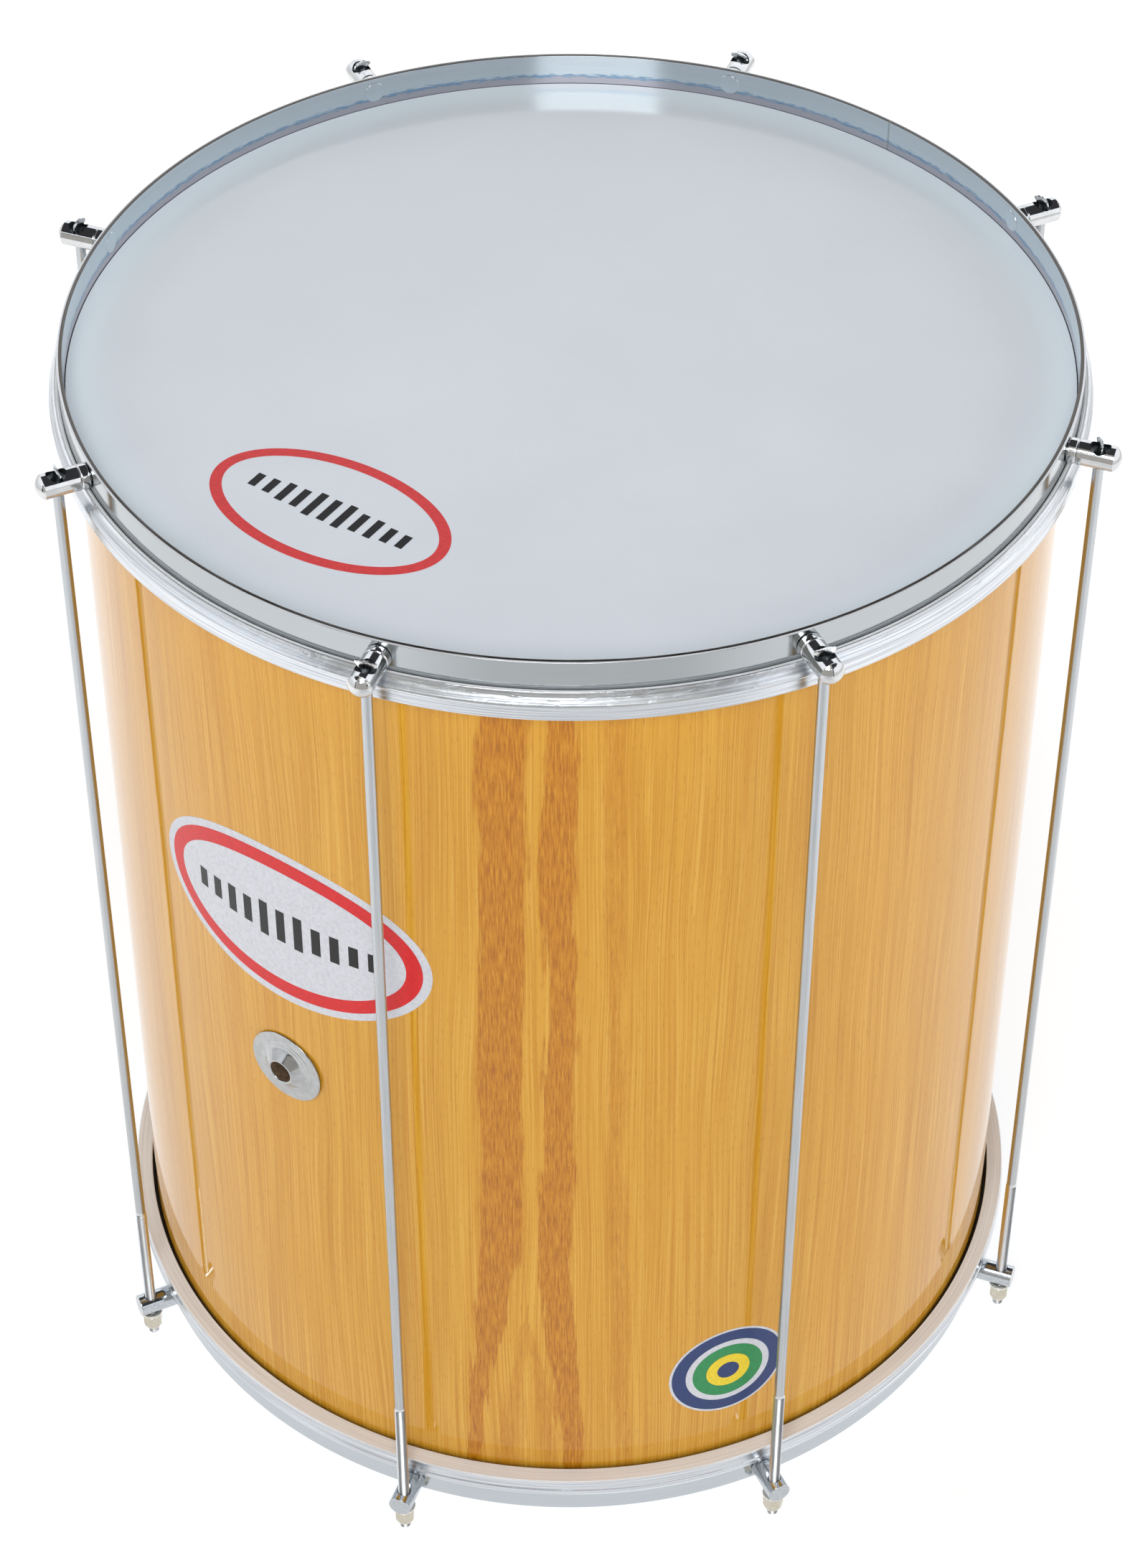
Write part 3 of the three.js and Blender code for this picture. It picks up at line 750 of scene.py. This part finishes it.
# %% Turn, drill and set the lugs
STATIONS = [22.5 + 45 * k for k in range(8)]
LUG_ROUND = 72
LUG = 6.5  # radius of the bar
DOME_TIP = 27
DOME_BALL = 7.7  # radius of the ball that the domed end is part of
ROD_OUT = 15.8  # from the hoop's face to the rod
TOP_LUG_HEIGHT, BOTTOM_LUG_HEIGHT = 645.5, 25.7
top_lug_corners = [
    (0, -3.05, 0), (5.6, -3.05, 0.12), (5.75, -2.7, 0), (4, -2.5, 0), (4, 0.3, 0),
    (LUG, 0.3, 0.5), (LUG, 4.2, 0.15), (6.0, 4.7, 0.2),
    (LUG, 5.2, 0.15), (LUG, 23.65, 0.08), (6.32, 23.75, 0),
]
for degrees in range(54, -1, -6):
    a = math.radians(degrees)
    top_lug_corners.append((DOME_BALL * math.sin(a), DOME_TIP - DOME_BALL * (1 - math.cos(a)), 0))
bottom_lug_corners = [
    (0, -3.0, 0), (4, -3.0, 0.5), (4, 0.3, 0), (LUG, 0.3, 0.5), (LUG, 23.1, 0.45), (0, 23.1, 0),
]


def drilled_lug(corners, tool_corners):
    """One lug along Z with its hole along Y, ready to be set."""
    tool = turned(tool_corners, steps=48, closed=False)
    across = Matrix.Translation((0, 0, ROD_OUT * MM)) @ Matrix.Rotation(math.radians(-90), 4, "X")
    tool.transform(across)
    bm = cut(turned(corners, steps=LUG_ROUND, closed=False, longest=0.9), tool)
    widest = max(radius for radius, _, _ in tool_corners)
    for face in bm.faces:
        x, y, z = face.calc_center_median() / MM
        away = math.hypot(x, z - ROD_OUT)
        face.material_index = 1 if away < (widest if y > 0 else tool_corners[1][0]) + 0.03 else 0
    return bm


def bored(radius, sink_radius=None):
    """The outline of a drill, with a countersink at its upper end if it has one."""
    shaft = [(0, -8, 0), (radius, -8, 0)]
    if sink_radius is None:
        return shaft + [(radius, 8, 0), (0, 8, 0)]
    return shaft + [(radius, 1.5, 0), (sink_radius, 2.6, 0), (sink_radius, 8, 0), (0, 8, 0)]


def set_copies(pattern, name, height, finish, rim):
    """Eight copies of one piece, each pointing out at its own station."""
    total = 0
    for number, azimuth in enumerate(STATIONS, 1):
        bm = pattern.copy()
        bm.transform(outwards(azimuth, HOOP_OUT, height))
        node = f"{rim[:-4]}_lug_{number}"
        total += faces(piece(f"{name}_{number}", bm, [finish, painted_hole_shade], rim, [node]))
    pattern.free()
    return total


top_pattern = drilled_lug(top_lug_corners, bored(3.2, 5.2))
made = set_copies(top_pattern, "lug_upper", TOP_LUG_HEIGHT, chrome, "top_rim")
print("upper lug faces:", made)
bottom_pattern = drilled_lug(bottom_lug_corners, bored(3.7))
made = set_copies(bottom_pattern, "lug_lower", BOTTOM_LUG_HEIGHT, zinc, "bottom_rim")
print("lower lug faces:", made)

# %% [markdown]
# ## The tension rods
# A rod is drawn wire with a rolled thread at its foot. Rolling pushes metal outwards, so the thread
# is a little thicker than the shank. Its top is hammered flat like a fishtail, which stops it
# turning in the lug. The thread is a real helix: one tooth of the section is spun with a rise of
# one pitch a turn, its turns are welded, and both ends are trimmed flat. Each head stands at its
# own angle, as they do on the real drum.

# %% Steel of the rods
rod_steel = Finish("rod_steel", Metallic=1.0, Roughness=0.27)
x, y, up = rod_steel.place()
drawn = rod_steel.noise(rod_steel.spots((x, 0.5), (y, 0.5), (up, 30)), detail=3)
hammered = rod_steel.range(up, 645, 648)
wire = rod_steel.ramp(drawn, (0.3, (0.42, 0.445, 0.465)), (0.7, (0.52, 0.54, 0.56)))
# the threaded foot is painted lighter than the shank: a painted highlight
wire = rod_steel.mix(rod_steel.range(up, 109.5, 107.5), wire, (0.72, 0.73, 0.745))
rod_steel.set("Base Color", rod_steel.mix(hammered, wire, (0.78, 0.79, 0.80)))
wire_rough = rod_steel.range(drawn, 0.2, 0.8, 0.2, 0.32)
smoothed = rod_steel.times(hammered, 0.14)
rod_steel.set("Roughness", rod_steel.minus(wire_rough, smoothed))
blows = rod_steel.times(rod_steel.noise(rod_steel.grid(x, y, up), 1.6, 3), hammered)
rod_steel.set("Normal", rod_steel.bump(drawn, 0.15, 0.06, rod_steel.bump(blows, 0.4, 0.3)))

# %% A thread, made once
PITCH = 1.27
THREAD_TOP = 108.0
CREST, ROOT, SHANK = 3.175, 2.5, 2.8
THREAD_STEPS = 20


def thread():
    """A helical thread from the floor up to its run-out, closed at both ends."""
    bm = bmesh.new()
    tooth = [(ROOT, 0), (CREST, 0.42), (CREST, 0.62), (ROOT, 1.04), (ROOT, 1.27)]
    points = [bm.verts.new((radius * MM, 0, (height - 2 * PITCH) * MM)) for radius, height in tooth]
    for pair in zip(points, points[1:]):
        bm.edges.new(pair)
    turns = int(THREAD_TOP / PITCH) + 4
    bmesh.ops.spin(
        bm, geom=bm.verts[:] + bm.edges[:], cent=(0, 0, 0), axis=(0, 0, 1),
        dvec=(0, 0, PITCH * MM / THREAD_STEPS), angle=2 * math.pi * turns,
        steps=THREAD_STEPS * turns, use_duplicate=False,
    )
    bmesh.ops.remove_doubles(bm, verts=bm.verts[:], dist=1e-6)
    for height, side in ((0, -1), (THREAD_TOP, 1)):
        everything = bm.verts[:] + bm.edges[:] + bm.faces[:]
        bmesh.ops.bisect_plane(
            bm, geom=everything, dist=1e-7, plane_co=(0, 0, height * MM), plane_no=(0, 0, side),
            clear_outer=True,
        )
    for point in bm.verts:
        radius, height = point.co.xy.length / MM, point.co.z / MM
        fade = min(max((THREAD_TOP - height) / 2.2, 0), 1)
        limit = min(2.3 + height, SHANK - 0.05 + (CREST - SHANK + 0.05) * fade)
        wanted = min(radius, limit)
        point.co.x *= wanted / radius
        point.co.y *= wanted / radius
    bmesh.ops.holes_fill(bm, edges=[e for e in bm.edges if e.is_boundary], sides=0)
    bmesh.ops.recalc_face_normals(bm, faces=bm.faces[:])
    return bm


thread_pattern = thread()
open_edges = sum(e.is_boundary for e in thread_pattern.edges)
print("thread faces:", len(thread_pattern.faces), "open edges:", open_edges)

# %% Shanks with hammered heads
# height, half width and half thickness of the rod as it goes up into its head
ROD_LEVELS = [
    (106.2, 2.6, 2.6), (107.2, SHANK, SHANK), (643.0, SHANK, SHANK), (647.2, 2.85, 2.5),
    (649.0, 3.1, 1.7), (650.2, 3.6, 1.15), (651.1, 4.5, 0.95), (651.8, 5.4, 0.9),
    (652.4, 5.8, 0.9), (652.9, 5.75, 0.85), (653.3, 5.4, 0.75),
]
HEAD_TURNS = [-6, 26, 10, -15, 14, -8, -3, 3]  # how far each head is turned from facing outwards


def shank(dice):
    """Rings drawn up from the thread, each scaled to its level, with a ragged crown on top."""
    bm = bmesh.new()
    low, wide, thick = ROD_LEVELS[0]
    made = bmesh.ops.create_circle(bm, cap_ends=True, segments=32, radius=1)
    bmesh.ops.scale(bm, vec=(wide * MM, thick * MM, 1), verts=made["verts"])
    bmesh.ops.translate(bm, vec=(0, 0, low * MM), verts=made["verts"])
    ring = [e for e in bm.edges if e.is_boundary]
    for height, next_wide, next_thick in ROD_LEVELS[1:]:
        grown = bmesh.ops.extrude_edge_only(bm, edges=ring)["geom"]
        points = [g for g in grown if isinstance(g, bmesh.types.BMVert)]
        bmesh.ops.scale(bm, vec=(next_wide / wide, next_thick / thick, 1), verts=points)
        bmesh.ops.translate(bm, vec=(0, 0, (height - low) * MM), verts=points)
        ring = [g for g in grown if isinstance(g, bmesh.types.BMEdge) and g.is_boundary]
        low, wide, thick = height, next_wide, next_thick
    bmesh.ops.holes_fill(bm, edges=ring, sides=0)
    for point in bm.verts:
        height = point.co.z / MM
        if height > 651:
            share = point.co.x / (5.8 * MM)
            lift = 1.45 * (1 - share * share) * min((height - 651) / 1.8, 1)
            point.co.z += (lift + dice.uniform(-0.4, 0.16)) * MM
            point.co.y += (0.9 * share * share + dice.uniform(-0.15, 0.15)) * MM
    return bm


def rod_spot(azimuth):
    """Moves a piece made about Z to the rod at this azimuth."""
    a, out = math.radians(azimuth), HOOP_OUT + ROD_OUT
    return Matrix.Translation((out * math.sin(a) * MM, -out * math.cos(a) * MM, 0))


dice = random.Random(8)
for number, (azimuth, turn) in enumerate(zip(STATIONS, HEAD_TURNS), 1):
    bm = shank(dice)
    bm.transform(Matrix.Rotation(math.radians(turn), 4, "Z"))
    threads = bpy.data.meshes.new("threads")
    thread_pattern.to_mesh(threads)
    bm.from_mesh(threads)
    bpy.data.meshes.remove(threads)
    bmesh.ops.recalc_face_normals(bm, faces=bm.faces[:])
    bm.transform(rod_spot(azimuth) @ Matrix.Rotation(math.radians(azimuth), 4, "Z"))
    node = f"tension_rod_{number}"
    rod = piece(f"rod_{number}", bm, [rod_steel], "top_rim", [node], sharp=40)
thread_pattern.free()
print("faces of one rod:", faces(rod))

# %% [markdown]
# ## Nuts and washers
# Under each lower lug sits a washer and a long hexagon nut whose lower half tapers to a round nose.
# A hexagon bar met by a turned envelope gives exactly that: the cones cut the flats in the curved
# edges that real nuts have, so we intersect the two and bore the middle.

# %% Nickel and bright zinc
nickel = plated(
    "nut_nickel", (0.50, 0.46, 0.37), (0.66, 0.62, 0.52), 0.7, rough=(0.22, 0.4),
    relief=(0.25, 0.1), Metallic=1.0,
)
washer_zinc = plated(
    "washer_zinc", (0.62, 0.60, 0.55), (0.80, 0.78, 0.72), 0.8, detail=2, rough=(0.25, 0.45),
    Metallic=1.0,
)

# %% Turn, cut and set them
NUT_CORNER = 10 / math.sqrt(3)
NUT_LOW, NUT_TOP, TAPER_TOP, NUT_BORE = 5, 17, 8.9, 3.3
envelope = turned(
    [
        (NUT_BORE, NUT_LOW, 0.2), (4.0, NUT_LOW, 0.3), (NUT_CORNER, TAPER_TOP, 0.3),
        (NUT_CORNER, NUT_TOP - 0.7, 0), (NUT_CORNER - 0.9, NUT_TOP, 0), (NUT_BORE, NUT_TOP, 0.2),
    ],
    steps=64,
)
bar = bmesh.new()
bmesh.ops.create_cone(
    bar, cap_ends=True, segments=6, radius1=NUT_CORNER * MM, radius2=NUT_CORNER * MM, depth=14 * MM
)
bmesh.ops.translate(bar, vec=(0, 0, 11 * MM), verts=bar.verts)
nut_pattern = cut(envelope, bar, "INTERSECT")
WASHER_LOW, WASHER_TOP = 17.3, 18.9
washer_pattern = turned(
    [
        (3.7, WASHER_LOW, 0.2), (6.25, WASHER_LOW, 0.3),
        (6.25, WASHER_TOP, 0.3), (3.7, WASHER_TOP, 0.2),
    ],
    steps=72,
)
NUT_TURNS = [12, 40, 5, 22, 50, 31, 8, 18]
for number, (azimuth, turn) in enumerate(zip(STATIONS, NUT_TURNS), 1):
    nut_bm, washer_bm = nut_pattern.copy(), washer_pattern.copy()
    nut_turn = math.radians(azimuth) + math.radians(turn)
    nut_bm.transform(rod_spot(azimuth) @ Matrix.Rotation(nut_turn, 4, "Z"))
    washer_bm.transform(rod_spot(azimuth))
    nut = piece(
        f"nut_{number}_hexagon", nut_bm, [nickel], f"nut_{number}",
        [f"tension_nut_{number}"], sharp=24,
    )
    disc = piece(
        f"washer_{number}_plate", washer_bm, [washer_zinc], "bottom_rim",
        [f"washer_{number}"],
    )
nut_pattern.free()
washer_pattern.free()
print("nut and washer faces:", faces(nut), faces(disc))

# %% [markdown]
# ## The vent fitting
# A drum this deep needs a hole to breathe. A chromed tube goes through the wall: outside it spreads
# into a wide polished flange with two fine steps and a cone-shaped boss, inside a ring nut holds it.
# It is turned work again, made about Z and then laid so that its axis points out of the shell.

# %% Polished chrome, with the marks of the lathe
polish = Finish("vent_chrome", Metallic=1.0, Roughness=0.12)
where = polish.here()
spin_cloud = polish.noise(where, 0.25, 2)
polish.set("Base Color", polish.ramp(spin_cloud, (0.3, (0.38, 0.385, 0.39)), (0.7, (0.46, 0.465, 0.47))))
polish.set("Roughness", polish.range(spin_cloud, 0.2, 0.8, 0.10, 0.17))
polish.set("Normal", polish.bump(polish.noise(where, 0.5, 1), 0.08, 0.05))

# the inside of the chromed tube is painted brown: a painted reflection of the wooden inside of the drum
bore_painted_reflection = plated(
    "vent_bore_painted_reflection", (0.42, 0.29, 0.18), (0.78, 0.60, 0.44), 0.5, relief=(0.2, 0.1),
    Roughness=0.28, Metallic=0.85,
)

# %% Turn the flange and the ring nut
vent_place = outwards(VENT_AZIMUTH, SHELL_RADIUS, VENT_HEIGHT)
VENT_BORE, FLANGE_OUT = 6.5, 22.5
flange_bm = turned(
    [
        (VENT_BORE, -12.5, 0.4), (8, -12.5, 0.4), (8, 0.3, 0),
        (FLANGE_OUT, 0.3, 0.3), (FLANGE_OUT, 1.1, 0.5),
        (17.5, 1.3, 0.1), (17.3, 1.5, 0.1), (15.4, 1.7, 0.1), (15.2, 1.85, 0.1), (13.6, 2.05, 1.2),
        (8.7, 5.5, 1.0), (7.7, 6.3, 0.5), (VENT_BORE, 6.1, 0.5),
    ],
    steps=160,
)
for face in flange_bm.faces:
    middle = face.calc_center_median()
    in_bore = middle.xy.length < (VENT_BORE + 0.1) * MM
    face.material_index = 1 if in_bore and middle.z < 5.5 * MM else 0
flange_bm.transform(vent_place)
flange = piece("vent_disc", flange_bm, [polish, bore_painted_reflection], "drum_body", ["vent_flange"])
ring_bm = turned([(8.3, -11.44, 0.4), (13, -11.44, 0.5), (13, -7.44, 0.5), (8.3, -7.44, 0.4)], steps=96)
ring_bm.transform(vent_place)
ring_nut = piece("vent_nut", ring_bm, [nickel], "drum_body", ["vent_ring_nut"])
print("vent faces:", faces(flange, ring_nut))

# %% [markdown]
# ## Stickers and the print on the head
# The drum wears a large label on the shell, a small round one near the foot, and a print on the
# upper head. Here they carry a plain pattern of ovals, bars and rings. A sticker is drawn flat,
# sliced into narrow strips, and its points are then carried onto the cylinder, so it follows the
# shell closely; the ink layers lie a hair above the sheet. The print has no sheet: its red ring is
# open and the film shows inside it.

# %% Sheet and inks
def ink(name, colour):
    """A printed colour: never quite even, under a thin gloss."""
    finish = Finish(
        name, Roughness=0.35, Specular_IOR_Level=0.2, Coat_Weight=0.06, Coat_Roughness=0.1
    )
    where = finish.here()
    fleck = finish.noise(where, 0.5, 3)
    darker = tuple(0.88 * c for c in colour)
    finish.set("Base Color", finish.mix(finish.range(fleck, 0.35, 0.7), colour, darker))
    finish.set("Normal", finish.bump(finish.noise(where, 0.05, 2), 0.2, 0.3))
    return finish


white_ink = ink("ink_white", (0.63, 0.635, 0.68))
red_ink = ink("ink_red", (0.66, 0.020, 0.022))
print_red = ink("ink_print_red", (0.81, 0.058, 0.060))
black_ink = ink("ink_black", (0.014, 0.013, 0.014))
navy_ink = ink("ink_navy", (0.028, 0.050, 0.16))
green_ink = ink("ink_green", (0.030, 0.26, 0.085))
yellow_ink = ink("ink_yellow", (0.83, 0.62, 0.03))

# %% Draw flat, slice, and wrap
SLICE = 2.5  # width of one strip, in mm
LAYER = 0.06  # how far one layer of ink lies above the last, in mm


def oval(bm, wide, high, lift, finish_index):
    """A filled oval of full width and height, lying flat at a small lift."""
    made = bmesh.ops.create_circle(bm, cap_ends=True, segments=128, radius=0.5)
    bmesh.ops.scale(bm, vec=(wide * MM, high * MM, 1), verts=made["verts"])
    bmesh.ops.translate(bm, vec=(0, 0, lift * MM), verts=made["verts"])
    filled = {f for v in made["verts"] for f in v.link_faces}
    for face in filled:
        face.material_index = finish_index
    return list(filled)


def bars(bm, places, width, lift, finish_index):
    """Upright bars, each given as (place along, height)."""
    for along, tall in places:
        made = bmesh.ops.create_grid(bm, x_segments=1, y_segments=1, size=0.5)
        bmesh.ops.scale(bm, vec=(width * MM, tall * MM, 1), verts=made["verts"])
        bmesh.ops.translate(bm, vec=(along * MM, 0, lift * MM), verts=made["verts"])
        for face in {f for v in made["verts"] for f in v.link_faces}:
            face.material_index = finish_index


def wrap(bm, azimuth, height):
    """Slices the flat drawing upright and lays it on the shell."""
    reach = max(abs(v.co.x) for v in bm.verts)
    for k in range(-int(reach / (SLICE * MM)), int(reach / (SLICE * MM)) + 1):
        everything = bm.verts[:] + bm.edges[:] + bm.faces[:]
        bmesh.ops.bisect_plane(bm, geom=everything, plane_co=(k * SLICE * MM, 0, 0), plane_no=(1, 0, 0))
    a0 = math.radians(azimuth)
    for point in bm.verts:
        around, upward, lift = point.co
        a = a0 + around / (SHELL_RADIUS * MM)
        radius = SHELL_RADIUS * MM + lift
        point.co = (radius * math.sin(a), -radius * math.cos(a), height * MM + upward)


BAR_ROW = [(k * 11.0, 10 + 16 * (1 - abs(k) / 6) * (1.0 if k % 2 else 0.72)) for k in range(-5, 6)]
badge_bm = bmesh.new()
oval(badge_bm, 174, 106, 1 * LAYER, 0)
oval(badge_bm, 164, 96, 2 * LAYER, 1)
oval(badge_bm, 146, 78, 3 * LAYER, 0)
bars(badge_bm, BAR_ROW, 5.5, 4 * LAYER, 2)
wrap(badge_bm, -37.9, 432)
badge = piece("label_shell", badge_bm, [white_ink, red_ink, black_ink], "drum_body")

round_bm = bmesh.new()
for layer, (wide, finish_index) in enumerate(((69, 0), (66, 1), (50, 0), (42, 2), (26, 3), (13, 1)), 1):
    oval(round_bm, wide, wide, layer * LAYER, finish_index)
wrap(round_bm, 17.8, 115)
disc_label = piece(
    "label_round", round_bm, [white_ink, navy_ink, green_ink, yellow_ink], "drum_body"
)

PRINT_BAND = 6  # width of the red ring, in mm
print_bm = bmesh.new()
filled = oval(print_bm, 134, 78, 1 * LAYER, 0)
bmesh.ops.inset_region(
    print_bm, faces=filled, thickness=PRINT_BAND * MM, use_even_offset=True, use_boundary=True
)
bmesh.ops.delete(print_bm, geom=filled, context="FACES")
bars(print_bm, [(0.8 * along, 0.8 * tall) for along, tall in BAR_ROW], 4.4, 1 * LAYER, 1)
print_spot = Matrix.Translation((-123 * MM, -121 * MM, (HEAD_EDGE + FILM_FACE) * MM))
print_bm.transform(print_spot @ Matrix.Rotation(math.radians(-36), 4, "Z"))
head_print = piece("print_head", print_bm, [print_red, black_ink], "drum_body")
print("label faces:", faces(badge, disc_label, head_print))

# %% [markdown]
# ## Floor
# The drum stands on its eight rod tips on a pale floor. The floor is a wide disc that glows a
# little, most at its sides, as a lit white sweep does in a studio, so the drum's shadow stays
# soft. Towards its edge it also brightens for the camera and fades into the white behind it. It is
# staging and not part of the drum.

# %% Pale floor
pale = Finish("pale_floor", Roughness=0.7)
x, y, up = pale.place()
dust = pale.noise(pale.grid(x, y, up), 0.004, 2)
pale.set("Base Color", pale.ramp(dust, (0.3, (0.36, 0.36, 0.36)), (0.7, (0.40, 0.40, 0.40))))
pale.set("Emission Color", (1.0, 1.0, 1.0))
to_side = pale.sum("ABSOLUTE", x)
glow = pale.plus(pale.range(y, -1300, -550, 0.5, 0.74), pale.range(to_side, 250, 700, 0.0, 0.32))
seen = pale.add("ShaderNodeLightPath").outputs["Is Camera Ray"]
from_axis = pale.sum("SQRT", pale.plus(pale.times(x, x), pale.times(y, y)))
rim_glow = pale.times(seen, pale.range(from_axis, 600, 1500, 0.0, 0.6))
pale.set("Emission Strength", pale.plus(glow, rim_glow))
FLOOR_RADIUS = 1.9  # in metres
floor_bm = bmesh.new()
bmesh.ops.create_circle(floor_bm, cap_ends=True, segments=96, radius=FLOOR_RADIUS)
floor = placed("floor", mesh_of("floor", floor_bm))
floor.data.materials.append(pale.material)
